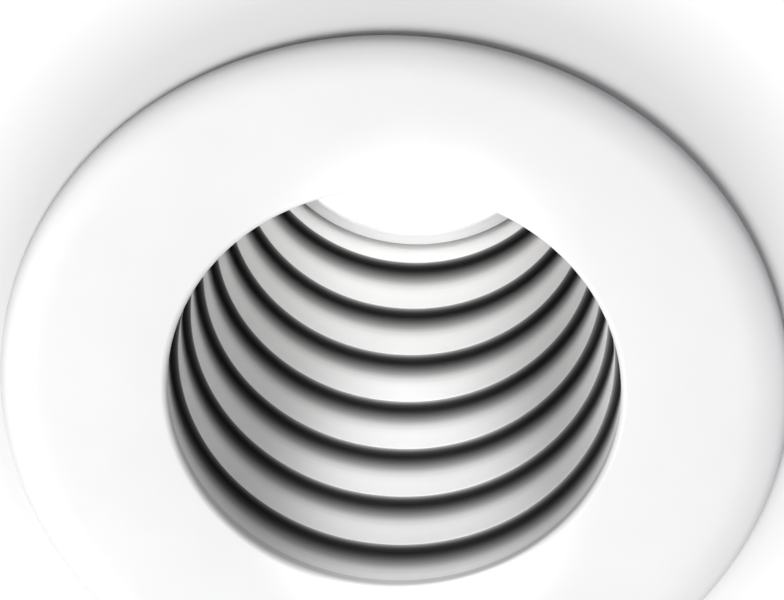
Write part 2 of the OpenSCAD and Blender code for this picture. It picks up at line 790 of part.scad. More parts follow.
module lamp_cap() {
    color("white") translate([0, 0, z_neck]) intersection() {
        cylinder(r = cap_r, h = cap_h);
        translate([-cap_r, -cap_w / 2, 0]) cube([2 * cap_r, cap_w, cap_h]);
    }
}

module lamp_pins() {
    color("silver") for (y = [-1, 1]) translate([0, y * lamp_pin_pitch / 2, z_cap])
        cylinder(r = lamp_pin_r, h = lamp_pin_len);
}

// The two rivets of one clip's bracket, below and above the spring
module rivet_spots() {
    inset = rivet_head_r + rivet_edge;
    for (z = [inset - bracket_down, bracket_up - inset]) translate([0, 0, z]) children();
}

module clip_bracket(side) {
    color("silver") difference() {
        union() {
            rotate([0, 0, (side > 0 ? 0 : 180) - bracket_half])
                translate([0, 0, pin_z - bracket_down])
                rotate_extrude(angle = 2 * bracket_half)
                translate([can_r, 0]) square([bracket_t, bracket_down + bracket_up]);
            at_clip(side) for (y = [-1, 1]) slice_y(y * (ear_in + ear_out) / 2, bracket_t) {
                circle(ear_r);
                translate([can_r - pin_x, -ear_r]) square([pin_x - can_r, 2 * ear_r]);
            }
        }
        at_clip(side) {
            rotate([90, 0, 0]) cylinder(r = pin_r, h = 4 * ear_out, center = true);
            rivet_spots() along_x(can_r - pin_x - over) cylinder(r = rivet_r, h = bracket_t + 2 * over);
        }
    }
}

module bracket_rivets(side) {
    seat = can_in - pin_x - rivet_sag;
    color("silver") at_clip(side) rivet_spots() {
        along_x(seat - rivet_head_h) cylinder(r = rivet_head_r, h = rivet_head_h);
        along_x(seat - join) cylinder(r = rivet_r, h = foot_r - pin_x - seat + 2 * join);
        along_x(foot_r - pin_x) cylinder(r = rivet_head_r, h = rivet_head_h);
    }
}

module clip_pin(side) {
    color("silver") at_clip(side) rotate([90, 0, 0]) {
        cylinder(r = pin_r, h = 2 * ear_out + pin_head_h, center = true);
        for (y = [-1, 1]) translate([0, 0, y * (ear_out + pin_head_h / 2)])
            cylinder(r = pin_head_r, h = pin_head_h, center = true);
    }
}

module clip_spring(side) {
    color("slategray") at_clip(side) tube(coil_line, wire_d / 2, wire_sides);
}

// The arm lies level here, and at_arm turns it down onto its stop
module at_arm(side) {
    at_clip(side) rotate([0, arm_droop, 0]) children();
}

module clip_arm(side) {
    heel = -180 + heel_angle + arm_droop;
    cheek_t = bracket_t;
    color("silver") at_arm(side) difference() {
        union() {
            for (y = [-1, 1]) slice_y(y * (arm_w - cheek_t) / 2, cheek_t) {
                circle(hub_r);
                polygon([
                    [-hub_r, 0], [heel_r * cos(heel), heel_r * sin(heel)],
                    [plate_x, plate_low], [plate_x + cheek_l, plate_low],
                    [plate_x + cheek_l, plate_top], [hub_r, 0]
                ]);
            }
            translate([plate_x, -arm_w / 2, plate_low]) cube([arm_l - plate_x, arm_w, arm_t]);
        }
        rotate([90, 0, 0]) cylinder(r = pin_r + run_gap, h = 2 * arm_w, center = true);
    }
}

module clip_pad(side) {
    low = plate_low - pad_t;
    high = plate_top + pad_t;
    mid = (low + high) / 2;
    color("dimgray") at_arm(side) difference() {
        slice_y(0, arm_w + 2 * pad_t) {
            translate([arm_l - pad_l, low]) square([pad_l, high - low]);
            translate([arm_l, mid]) circle((high - low) / 2);
        }
        translate([arm_l - pad_l - over, -arm_w / 2, plate_low]) cube([pad_l + over, arm_w, arm_t]);
    }
}

module box_base() {
    color("dimgray") difference() {
        union() {
            difference() {
                translate([0, 0, z_top]) linear_extrude(box_h) round_rect(box_l, box_w, box_corner);
                translate([0, 0, z_floor]) linear_extrude(box_h)
                    round_rect(box_l - 2 * box_t, box_w - 2 * box_t, box_corner - box_t);
            }
            for (y = [-1, 1])
                slice_y(y * (knuckle_w / 2 + knuckle_gap + side_knuckle_w / 2), side_knuckle_w) {
                    translate([hinge_x, z_lid]) circle(hinge_r + knuckle_t);
                    translate([hinge_x, z_lid - hinge_r - knuckle_t])
                        square([-hinge_x - box_l / 2 + join, hinge_r + knuckle_t]);
                }
        }
        translate([hinge_x, 0, z_lid]) rotate([90, 0, 0])
            cylinder(r = hinge_r, h = box_w, center = true);
        translate([0, 0, z_top - over]) cylinder(r = lead_hole_r, h = box_t + 2 * over);
        for (p = box_screw_spots) translate([p[0], p[1], z_top - over])
            cylinder(r = small_r + hole_gap, h = box_t + 2 * over);
        translate([pole_x, 0, z_top + block_skin]) cylinder(r = small_r + thread_gap, h = box_t);
        translate([0, 0, gland_z]) along_x(box_l / 2 - box_t - over)
            cylinder(r = gland_r, h = box_t + 2 * over);
    }
}

module box_lid() {
    z = z_lid + lid_gap;
    rib_l = box_l - 2 * (box_t + rib_gap);
    rib_w = box_w - 2 * (box_t + rib_gap);
    rib_r = box_corner - box_t;
    color("gray") difference() {
        union() {
            translate([0, 0, z]) linear_extrude(lid_t) round_rect(box_l, box_w, box_corner);
            translate([0, 0, z - lid_rib]) linear_extrude(lid_rib + join) difference() {
                round_rect(rib_l, rib_w, rib_r);
                square([rib_l - 2 * box_t, rib_w - 2 * box_t], center = true);
            }
            slice_y(0, knuckle_w) {
                translate([hinge_x, z_lid]) circle(hinge_r + knuckle_t);
                translate([hinge_x, z]) square([-hinge_x - box_l / 2 + join, lid_t]);
            }
            slice_y(0, tab_w) {
                translate([box_l / 2 - join, z]) square([join + tab_gap + tab_t, lid_t]);
                translate([box_l / 2 + tab_gap, z_lid - tab_h])
                    square([tab_t, tab_h + lid_gap + lid_t]);
            }
        }
        translate([hinge_x, 0, z_lid]) rotate([90, 0, 0])
            cylinder(r = hinge_r + run_gap, h = box_w, center = true);
    }
}

module lid_pin() {
    l = knuckle_w + 2 * (knuckle_gap + side_knuckle_w);
    color("silver") translate([hinge_x, 0, z_lid]) rotate([90, 0, 0]) {
        cylinder(r = hinge_r, h = l, center = true);
        for (y = [-1, 1]) translate([0, 0, y * (l + hinge_head_h) / 2])
            cylinder(r = hinge_head_r, h = hinge_head_h, center = true);
    }
}

module box_screws() {
    color("lightgray") for (p = box_screw_spots) translate([p[0], p[1], z_floor])
        screw(small_r, small_head_r, small_head_h, box_t + can_end_t + small_over);
}

module lead_grommet() {
    low = z_roof - lip_t;
    high = z_floor + lip_t;
    color("black") difference() {
        rotate_extrude() polygon([
            [0, low], [lead_hole_r + lip_w, low], [lead_hole_r + lip_w, z_roof], [lead_hole_r, z_roof],
            [lead_hole_r, z_floor], [lead_hole_r + lip_w, z_floor], [lead_hole_r + lip_w, high], [0, high]
        ]);
        for (y = [-1, 1]) translate([0, y * lamp_pin_pitch / 2, low - over])
            cylinder(r = lead_r + grommet_gap, h = high - low + 2 * over);
    }
}

// One lead's middle line: up from its contact, through the grommet, into its terminal. The
// bend is a quarter of an ellipse, and the leads spread from the contacts' pitch to the poles'.
function lead_line(y) =
    let (contact_y = lamp_pin_pitch / 2, z_bend = z_floor + lip_t + lead_straight)
    [
        [0, contact_y * y, z_strap], [0, contact_y * y, z_roof],
        for (a = [0 : 15 : 90])
        [
            (block_x - lead_straight) * (1 - cos(a)),
            (contact_y + (pole_y - contact_y) * pow(sin(a), 2)) * y,
            z_bend + (block_z - z_bend) * sin(a)
        ],
        [block_x, pole_y * y, block_z], [pole_x - clamp_x + small_r, pole_y * y, block_z]
    ];

module lead_live() {
    color("brown") tube(lead_line(1), lead_r, 8);
}

module lead_neutral() {
    color("royalblue") tube(lead_line(-1), lead_r, 8);
}

module terminal_block() {
    color("white") difference() {
        translate([block_x, -block_w / 2, z_floor]) cube([block_l, block_w, block_h]);
        for (y = [-1, 1]) {
            translate([0, y * pole_y, block_z]) along_x(block_x - over)
                cylinder(r = sleeve_r, h = block_l + 2 * over);
            for (x = [-1, 1]) translate([pole_x + x * clamp_x, y * pole_y, block_z])
                cylinder(r = small_r + clamp_gap, h = block_h);
        }
        translate([pole_x, 0, z_floor - over]) cylinder(r = small_r + hole_gap, h = block_h + 2 * over);
        translate([pole_x, 0, block_z]) cylinder(r = small_head_r + hole_gap, h = block_h);
    }
}

module terminal_sleeves() {
    l = block_l - 2 * sleeve_back;
    color("goldenrod") for (y = [-1, 1]) difference() {
        translate([0, y * pole_y, block_z]) along_x(block_x + sleeve_back) cylinder(r = sleeve_r, h = l);
        translate([0, y * pole_y, block_z]) along_x(block_x) cylinder(r = sleeve_bore, h = block_l);
        for (x = [-1, 1]) translate([pole_x + x * clamp_x, y * pole_y, block_z])
            cylinder(r = small_r + thread_gap, h = block_h);
    }
}

module terminal_screws() {
    l = block_h / 2 - clamp_sink - lead_r;
    color("silver") for (x = [-1, 1], y = [-1, 1])
        translate([pole_x + x * clamp_x, y * pole_y, block_z + lead_r]) difference() {
            cylinder(r = small_r, h = l);
            translate([-2 * small_r, -slot_w / 2, l - slot_d]) cube([4 * small_r, slot_w, 2 * slot_d]);
        }
}

module block_screw() {
    color("lightgray") translate([pole_x, 0, block_z])
        screw(small_r, small_head_r, small_head_h, block_h / 2 + box_t - block_skin - bore_end);
}

module gland_body() {
    color("black") translate([0, 0, gland_z]) difference() {
        union() {
            along_x(box_l / 2) rotate([0, 0, 30]) cylinder(r = gland_hex_r, h = gland_hex_t, $fn = 6);
            along_x(stub_in) cylinder(r = stub_r, h = thread_x - stub_in);
        }
        along_x(stub_in - over) cylinder(r = gland_bore, h = thread_x - stub_in + 2 * over);
        along_x(stub_in - over) cylinder(r = gland_bore + gland_play, h = hex_x - stub_in + over);
    }
}

module gland_locknut() {
    color("black") translate([0, 0, gland_z]) difference() {
        along_x(box_l / 2 - box_t - locknut_t) rotate([0, 0, 30])
            cylinder(r = gland_hex_r, h = locknut_t, $fn = 6);
        along_x(box_l / 2 - box_t - locknut_t - over)
            cylinder(r = stub_r + thread_gap, h = locknut_t + 2 * over);
    }
}

module gland_seal() {
    color("dimgray") translate([0, 0, gland_z]) difference() {
        along_x(thread_x) cylinder(r = stub_r + thread_gap - gland_seal_gap, h = gland_seal_l);
        along_x(thread_x - over) cylinder(r = gland_bore, h = gland_seal_l + 2 * over);
    }
}

module gland_nut() {
    neck = gland_hex_r * cos(30);
    back = hex_x + nut_gap;
    dome = [
        for (a = [0 : 18 : 90])
        [neck - dome_round + dome_round * cos(a), dome_x - dome_round + dome_round * sin(a)]
    ];
    color("black") translate([0, 0, gland_z]) difference() {
        union() {
            along_x(back) rotate([0, 0, 30]) cylinder(r = gland_hex_r, h = dome_hex_l, $fn = 6);
            along_x(0) rotate_extrude() polygon(concat([[0, back], [neck, back]], dome, [[0, dome_x]]));
        }
        along_x(back - over)
            cylinder(r = stub_r + thread_gap, h = thread_x + gland_seal_l - back + over);
        along_x(back) cylinder(r = gland_bore, h = dome_l + over);
    }
}

bezel();
ceiling_gasket();
baffle();
lamp_retainer();
holder_strap();
strap_screws();
can();
can_screws();
lamp_holder();
holder_contacts();
holder_screws();
lamp_lens();
lamp_body();
led_board();
lamp_cap();
lamp_pins();
clip_bracket(1);  // clip_bracket_right
bracket_rivets(1);  // bracket_rivets_right
clip_pin(1);  // clip_pin_right
clip_spring(1);  // clip_spring_right
clip_arm(1);  // clip_arm_right
clip_pad(1);  // clip_pad_right
clip_bracket(-1);  // clip_bracket_left
bracket_rivets(-1);  // bracket_rivets_left
clip_pin(-1);  // clip_pin_left
clip_spring(-1);  // clip_spring_left
clip_arm(-1);  // clip_arm_left
clip_pad(-1);  // clip_pad_left
box_base();
box_lid();
lid_pin();
box_screws();
lead_grommet();
lead_live();
lead_neutral();
terminal_block();
terminal_sleeves();
terminal_screws();
block_screw();
gland_body();
gland_locknut();
gland_seal();
gland_nut();
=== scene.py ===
# A recessed ceiling spotlight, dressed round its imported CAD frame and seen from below.
# Sizes are in millimetres, and mm makes them metres. They are in the light's own frame: its axis is
# the Z axis, and +Z points up into the ceiling.
import math

import bmesh
import bpy
from mathutils import Matrix, Vector


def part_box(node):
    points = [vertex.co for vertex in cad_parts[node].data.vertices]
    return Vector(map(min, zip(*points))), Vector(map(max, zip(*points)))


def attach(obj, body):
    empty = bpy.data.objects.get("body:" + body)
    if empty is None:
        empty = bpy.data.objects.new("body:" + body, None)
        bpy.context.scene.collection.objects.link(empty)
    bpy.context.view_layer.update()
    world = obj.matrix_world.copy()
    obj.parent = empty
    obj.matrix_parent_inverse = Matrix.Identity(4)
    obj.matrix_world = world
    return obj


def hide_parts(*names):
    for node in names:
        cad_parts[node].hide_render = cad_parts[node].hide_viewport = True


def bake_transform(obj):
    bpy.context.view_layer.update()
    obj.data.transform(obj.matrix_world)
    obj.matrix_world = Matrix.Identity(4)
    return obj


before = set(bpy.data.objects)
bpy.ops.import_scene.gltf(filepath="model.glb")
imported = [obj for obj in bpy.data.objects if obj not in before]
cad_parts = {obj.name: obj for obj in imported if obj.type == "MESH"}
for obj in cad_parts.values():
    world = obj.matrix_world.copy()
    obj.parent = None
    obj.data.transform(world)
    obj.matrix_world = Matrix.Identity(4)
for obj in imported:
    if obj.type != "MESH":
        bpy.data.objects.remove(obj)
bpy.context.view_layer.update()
mm = 0.001

# The camera looks up at the light through a long lens, tilted from the light's axis and rolled a
# little, so that the mouth lands where the photograph has it.
photo_w = 784
mouth_px = Vector((393.8, 390.9))
photo_centre_px = Vector((392, 300))
mouth_half_px = 227.1
mouth_r = 34.5
view_tilt = math.radians(29.3)
view_roll = math.radians(4.2)
view_distance = 2.1
look = Vector((0, math.sin(view_tilt), math.cos(view_tilt)))
level_up = Vector((0, -math.cos(view_tilt), math.sin(view_tilt)))
level_right = Vector((1, 0, 0))
view_right = level_right * math.cos(view_roll) + level_up * math.sin(view_roll)
view_up = level_up * math.cos(view_roll) - level_right * math.sin(view_roll)
metres_per_px = mouth_r * mm / mouth_half_px
mouth_centre = Vector((0, 0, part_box("bezel")[0].z))
off_px = mouth_px - photo_centre_px
aim = mouth_centre - view_right * off_px.x * metres_per_px + view_up * off_px.y * metres_per_px
sensor_w = 36
camera = bpy.data.objects.new("camera", bpy.data.cameras.new("camera"))
bpy.context.collection.objects.link(camera)
camera.data.sensor_width = sensor_w
camera.data.lens = sensor_w * view_distance / (photo_w * metres_per_px)
camera.data.clip_start = 0.05
camera.data.clip_end = 20
turn = Matrix((view_right, view_up, -look)).transposed().to_4x4()
camera.matrix_world = Matrix.Translation(aim - look * view_distance) @ turn
bpy.context.scene.camera = camera
bpy.context.scene.view_settings.view_transform = "Standard"

# Soft studio light. A pale sky lights everything evenly and looks white, a broad lamp stands below
# the light with a weaker one on each side, and two stand above the ceiling. Three narrow beams from
# the camera's place reach into the baffle.
world = bpy.data.worlds.new("studio")
bpy.context.scene.world = world
world.use_nodes = True
sky = world.node_tree
sky.nodes.clear()


def add(tree, kind, inputs=None, **settings):
    """One shader node; inputs are values, or sockets to link from."""
    made = tree.nodes.new("ShaderNode" + kind)
    for key, value in settings.items():
        setattr(made, key, value)
    for key, value in (inputs or {}).items():
        if isinstance(value, bpy.types.NodeSocket):
            tree.links.new(value, made.inputs[key])
        else:
            made.inputs[key].default_value = value
    return made


def seen(tree):
    """1 where the camera looks, also in a gloss or through glass, and 0 where only light arrives."""
    rays = add(tree, "LightPath").outputs
    looked_at = rays["Is Camera Ray"]
    for ray in ("Is Glossy Ray", "Is Transmission Ray"):
        looked_at = add(tree, "Math", {0: looked_at, 1: rays[ray]}, operation="MAXIMUM").outputs[0]
    return looked_at


sky_even = add(sky, "Background", {"Color": (0.98, 0.985, 1, 1), "Strength": 0.22}).outputs[0]
sky_white = add(sky, "Background", {"Color": (1, 1, 1, 1), "Strength": 1}).outputs[0]
sky_choice = add(sky, "MixShader", {0: seen(sky), 1: sky_even, 2: sky_white}).outputs[0]
add(sky, "OutputWorld", {0: sky_choice})


def studio_lamp(name, kind, place, target, power, colour):
    """A lamp at a place, turned towards a target."""
    lamp = bpy.data.objects.new(name, bpy.data.lights.new(name, kind))
    bpy.context.collection.objects.link(lamp)
    lamp.data.energy = power
    lamp.data.color = colour
    lamp.location = Vector(place)
    lamp.rotation_mode = "QUATERNION"
    lamp.rotation_quaternion = (Vector(place) - Vector(target)).to_track_quat("Z", "Y")
    return lamp.data


for name, place, size, power, colour in (
    ("broad_lamp_under", (-0.85, 1.45, -2.25), 1.9, 56, (1, 0.998, 0.99)),
    ("lamp_left", (-0.75, 0.35, -0.65), 0.7, 2.6, (1, 0.995, 0.985)),
    ("lamp_right", (1.3, 0.3, -0.9), 0.9, 2, (0.9, 0.88, 1)),
    ("lamp_behind_left", (-0.7, -0.9, 1.3), 0.9, 28, (1, 1, 1)),
    ("lamp_behind_right", (1.2, 0.7, 1.0), 0.9, 19, (1, 1, 1)),
):
    broad = studio_lamp(name, "AREA", place, (0, 0, 0), power, colour)
    broad.shape = "DISK"
    broad.size = size
beam_r = 25 * mm
beam_source_r = 6 * mm
for name, right_mm, up_mm, power in (
    ("beam_deep", 3, 14, 108), ("beam_middle", 3, -2, 52), ("beam_near", 3.5, -18, 170)
):
    target = (view_right * right_mm + view_up * up_mm) * mm
    beam = studio_lamp(name, "SPOT", -look * view_distance, target, power, (1, 1, 1))
    beam.spot_size = 2 * math.atan(beam_r / view_distance)
    beam.spot_blend = 1
    beam.shadow_soft_size = beam_source_r

# The ceiling is a plain pale sheet with a hole behind the trim. A soft grey ring round the trim, wider
# at the top of the picture, stands for the photograph's shadow there. The sheet shows from below
# only, so that the fittings above it can be looked at from the side and from the top.
ceiling_hole = 58.9 * mm
ceiling_edge = 1.6
shade_shift = 9 * mm
shade_w = 24 * mm
shade_stops = ((0, 0.66), (0.08, 0.74), (0.14, 0.81), (0.2, 0.84), (0.35, 0.87), (0.6, 0.91), (1, 0.96))
lift_from = 0.35
lift_most = 0.2
sheet = bmesh.new()
for radius in (ceiling_hole, ceiling_edge):
    bmesh.ops.create_circle(sheet, segments=128, radius=radius)
bmesh.ops.bridge_loops(sheet, edges=sheet.edges[:])
bmesh.ops.recalc_face_normals(sheet, faces=sheet.faces)
if sheet.faces[:][0].normal.z > 0:
    bmesh.ops.reverse_faces(sheet, faces=sheet.faces)
ceiling_mesh = bpy.data.meshes.new("ceiling")
sheet.to_mesh(ceiling_mesh)
sheet.free()
ceiling = bpy.data.objects.new("ceiling", ceiling_mesh)
bpy.context.collection.objects.link(ceiling)
ceiling_paint = bpy.data.materials.new("ceiling_paint")
ceiling_paint.use_nodes = True
paint = ceiling_paint.node_tree
paint.nodes.clear()


def greys(tree, along, stops):
    """A grey that follows how far along a point lies: pairs of share and tone."""
    ramp = add(tree, "ValToRGB", {0: along})
    ends = ramp.color_ramp.elements
    for end, (share, tone) in zip(ends, (stops[0], stops[-1])):
        end.position = share
        end.color = (tone, tone, tone, 1)
    for share, tone in stops[1:-1]:
        ends.new(share).color = (tone, tone, tone, 1)
    return ramp.outputs[0]


on_sheet = add(paint, "TexCoord").outputs["Object"]
shade_middle = {0: on_sheet, 1: (0, -shade_shift, 0)}
from_middle = add(paint, "VectorMath", shade_middle, operation="DISTANCE").outputs["Value"]
shade_in = ceiling_hole - shade_shift
over_shade = add(paint, "MapRange", {0: from_middle, 1: shade_in, 2: shade_in + shade_w}).outputs[0]
matt = add(paint, "BsdfDiffuse", {"Color": greys(paint, over_shade, shade_stops)}).outputs[0]
lift = add(paint, "MapRange", {0: over_shade, 1: lift_from, 2: 1, 3: 0, 4: lift_most}).outputs[0]
lift_seen = add(paint, "Math", {0: lift, 1: seen(paint)}, operation="MULTIPLY").outputs[0]
glow = add(paint, "Emission", {"Strength": lift_seen}).outputs[0]
from_below = add(paint, "AddShader", {0: matt, 1: glow}).outputs[0]
from_above = add(paint, "BsdfTransparent").outputs[0]
upper_side = add(paint, "NewGeometry").outputs["Backfacing"]
both_sides = add(paint, "MixShader", {0: upper_side, 1: from_below, 2: from_above}).outputs[0]
add(paint, "OutputMaterial", {0: both_sides})
ceiling_mesh.materials.append(ceiling_paint)


# The trim ring is die-cast and powder-coated satin white. Its face is flat, its outer edge rolls up
# to the ceiling, and a collar behind it centres the light in the ceiling's cut-out. Three bosses
# behind it take the screws that clamp the baffle and the can to it.
def eased(outline, radius, steps=4):
    """The closed outline with each corner turned into a short arc, up to 0.4 of a side long."""
    made = []
    for i, corner in enumerate(outline):
        here = Vector(corner)
        back = Vector(outline[i - 1]) - here
        ahead = Vector(outline[(i + 1) % len(outline)]) - here
        half = back.angle(ahead) / 2
        if half > math.radians(80):
            made.append(here)
            continue
        reach = min(radius / math.tan(half), back.length * 0.4, ahead.length * 0.4)
        middle = here + (back.normalized() + ahead.normalized()).normalized() * reach / math.cos(half)
        first = here + back.normalized() * reach - middle
        last = here + ahead.normalized() * reach - middle
        made += [middle + first.slerp(last, s / steps) * first.length for s in range(steps + 1)]
    return made


def turned(bm, outline, steps=192):
    """Spins a closed outline of (radius, height), in millimetres, round the light's axis."""
    rim = [bm.verts.new((r * mm, 0, z * mm)) for r, z in outline]
    edges = []
    for a, b in zip(rim, rim[1:] + rim[:1]):
        if a.co.x > 1e-9 or b.co.x > 1e-9:
            edges.append(bm.edges.new((a, b)))
    spun = dict(cent=(0, 0, 0), axis=(0, 0, 1), angle=math.tau, steps=steps, use_merge=True)
    bmesh.ops.spin(bm, geom=rim + edges, **spun)
    bmesh.ops.remove_doubles(bm, verts=bm.verts, dist=1e-7)
    bmesh.ops.recalc_face_normals(bm, faces=bm.faces)
    return bm


def fitted(bm, name, body, slot, material, *stands_for, sharp=35):
    """Makes a finished piece: smooth faces with crisp edges, its finish, its body and its CAD nodes."""
    mesh = bpy.data.meshes.new(name)
    bm.to_mesh(mesh)
    bm.free()
    mesh.shade_smooth()
    mesh.set_sharp_from_angle(angle=math.radians(sharp))
    for coat in material if isinstance(material, list) else [material]:
        mesh.materials.append(coat)
    made = bpy.data.objects.new(name, mesh)
    bpy.context.collection.objects.link(made)
    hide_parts(*stands_for)
    if body:
        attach(made, body)
    return made


def new_finish(name, metallic, roughness):
    """A new material, its node tree and its shader."""
    finish = bpy.data.materials.new(name)
    finish.use_nodes = True
    tree = finish.node_tree
    shader = tree.nodes["Principled BSDF"]
    shader.inputs["Metallic"].default_value = metallic
    shader.inputs["Roughness"].default_value = roughness
    return finish, tree, shader


def spot(tree, scale=(1, 1, 1)):
    """Where a point lies on the piece, in metres, stretched by scale."""
    return add(tree, "Mapping", {0: add(tree, "TexCoord").outputs["Object"], 3: scale}).outputs[0]


def height_of(tree):
    """How high a point lies, in metres."""
    return add(tree, "SeparateXYZ", {0: spot(tree)}).outputs[2]


def from_axis(tree):
    """How far a point lies from the light's axis, in metres."""
    return add(tree, "VectorMath", {0: spot(tree, (1, 1, 0))}, operation="LENGTH").outputs["Value"]


def grain(tree, where, scale, detail=3.0, rough=0.5):
    """Fine random grain, from 0 to 1."""
    noise = add(tree, "TexNoise", {"Vector": where, "Scale": scale, "Detail": detail, "Roughness": rough})
    return noise.outputs[0]


def tones(tree, factor, low, high, start=0.3, end=0.7):
    """A colour that runs from low to high as factor goes from start to end."""
    ramp = add(tree, "ValToRGB", {0: factor})
    ramp.color_ramp.elements[0].position = start
    ramp.color_ramp.elements[0].color = (*low, 1)
    ramp.color_ramp.elements[1].position = end
    ramp.color_ramp.elements[1].color = (*high, 1)
    return ramp.outputs[0]


def span(tree, factor, low, high):
    """A number that runs from low to high as factor goes from 0 to 1."""
    return add(tree, "MapRange", {0: factor, 3: low, 4: high}).outputs[0]


def relief(tree, shader, height, depth):
    """Fine texture on the surface, its depth in millimetres."""
    bump = add(tree, "Bump", {"Height": height, "Distance": depth * mm, "Strength": 1})
    tree.links.new(bump.outputs[0], shader.inputs["Normal"])


def enamel(name, low, high, roughness, texture):
    """Baked white paint: a trace of tone, and the orange peel of a sprayed coat, in millimetres."""
    finish, tree, shader = new_finish(name, 0, roughness)
    where = spot(tree)
    tree.links.new(tones(tree, grain(tree, where, 55), low, high), shader.inputs["Base Color"])
    shine = span(tree, grain(tree, where, 240), roughness - 0.05, roughness + 0.06)
    tree.links.new(shine, shader.inputs["Roughness"])
    relief(tree, shader, grain(tree, where, 1500, 2), texture)
    return finish, tree, shader


def shaded(tree, shader, along, stops):
    """Paints shade into the enamel: greys it by how far along a point lies, by pairs of share and tone.
    """
    white = shader.inputs["Base Color"].links[0].from_socket
    both = {0: 1.0, 1: white, 2: greys(tree, along, stops)}
    graded = add(tree, "MixRGB", both, blend_type="MULTIPLY").outputs[0]
    tree.links.new(graded, shader.inputs["Base Color"])


face_drop = 3
face_t = 2
z_face = -face_drop
z_rear = z_face + face_t
lip_r = 1
lip_steps = 10
lip = []
for i in range(lip_steps + 1):
    a = math.radians(180 + 90 * i / lip_steps)
    lip.append((mouth_r + lip_r * (1 + math.cos(a)), z_face + lip_r * (1 + math.sin(a))))
rim_r = 60
edge_w = 7
edge_h = 1.9
edge_fullness = 0.8
edge_steps = 40
edge = []
for i in range(1, edge_steps + 1):
    a = math.radians(90 * i / edge_steps)
    out = edge_w * math.sin(a) ** edge_fullness
    edge.append((rim_r - edge_w + out, z_face + edge_h * (1 - math.cos(a))))
rim_gap = 0.4
rim_land = 1.3
rim_corner_r = 0.2
rim_corner = []
for inwards, down in ((0, 1), (0.3, 0.3), (1, 0)):
    rim_corner.append((rim_r - inwards * rim_corner_r, -rim_gap - down * rim_corner_r))
channel_r = rim_r - rim_land
collar_r = 51
collar_in = 49
collar_root = 0.6
collar_h = 6
collar_foot_r = collar_r + collar_root
back = [
    (rim_r, -rim_gap), (channel_r, -rim_gap), (channel_r, z_rear), (collar_foot_r, z_rear),
    (collar_foot_r, 0), (collar_r, 0), (collar_r, collar_h), (collar_in, collar_h),
    (collar_in, z_rear), (mouth_r, z_rear)
]
# The rim's corner has its own arc, and the corner behind the mouth stays sharp against the baffle.
back_arc_steps = 3
back_arc_r = 0.25
behind = eased(back, back_arc_r, back_arc_steps)[back_arc_steps + 1:-back_arc_steps - 1] + [back[-1]]
ring = turned(bmesh.new(), lip + edge + rim_corner + behind, 256)
boss_count = 3
boss_r = 2.6
boss_circle_r = 45
boss_h = 4.8
boss_root = 0.4
for i in range(boss_count):
    a = math.radians(90 + 360 * i / boss_count)
    z_middle = z_rear + (boss_h - boss_root) / 2
    seat = Vector((boss_circle_r * math.cos(a), boss_circle_r * math.sin(a), z_middle)) * mm
    boss = dict(segments=40, radius1=boss_r * mm, radius2=boss_r * mm, depth=(boss_h + boss_root) * mm)
    bmesh.ops.create_cone(ring, cap_ends=True, cap_tris=False, matrix=Matrix.Translation(seat), **boss)
# The white is painted greyer up the rolled edge and up the lip of the mouth: painted shade, where the
# edge turns up into the ceiling's shadow and where the lip meets the baffle.
edge_shade_stops = ((0, 1), (0.26, 1), (0.44, 0.89), (0.74, 0.71), (1, 0.62))
lip_shade_stops = ((0, 1), (0.18, 1), (0.26, 0.84), (0.385, 0.74), (1, 0.74))
lip_out = mouth_r + 1.5 * lip_r
trim_enamel, tree, shader = enamel("trim_enamel", (0.90, 0.90, 0.905), (0.93, 0.93, 0.935), 0.38, 0.004)
shader.inputs["Coat Weight"].default_value = 0.15
shader.inputs["Coat Roughness"].default_value = 0.4
above_face = add(tree, "MapRange", {0: height_of(tree), 1: z_face * mm, 2: -rim_gap * mm}).outputs[0]
for zone, limit, stops in (
    ("GREATER_THAN", rim_r - edge_w, edge_shade_stops), ("LESS_THAN", lip_out, lip_shade_stops)
):
    in_zone = add(tree, "Math", {0: from_axis(tree), 1: limit * mm}, operation=zone).outputs[0]
    up_zone = add(tree, "Math", {0: above_face, 1: in_zone}, operation="MULTIPLY").outputs[0]
    shaded(tree, shader, up_zone, stops)
fitted(ring, "trim_ring", "root", "trim_enamel", trim_enamel, "bezel")

# The seal is a ring of black closed-cell foam. It is laid in the channel behind the trim, which
# presses it against the ceiling.
seal_gap = 0.3
seal_in = collar_foot_r + seal_gap
seal_out = channel_r - seal_gap
seal_outline = [(seal_in, z_rear), (seal_out, z_rear), (seal_out, 0), (seal_in, 0)]
seal_corner_r = 0.3
seal = turned(bmesh.new(), eased(seal_outline, seal_corner_r), 160)
seal_foam, tree, shader = new_finish("seal_foam", 0, 0.92)
cells = add(tree, "TexVoronoi", {"Vector": spot(tree), "Scale": 1600}).outputs["Distance"]
foam = tones(tree, cells, (0.035, 0.035, 0.038), (0.11, 0.11, 0.115), 0.05, 0.6)
tree.links.new(foam, shader.inputs["Base Color"])
relief(tree, shader, cells, 0.12)
fitted(seal, "foam_seal", "root", "seal_foam", seal_foam, "ceiling_gasket")
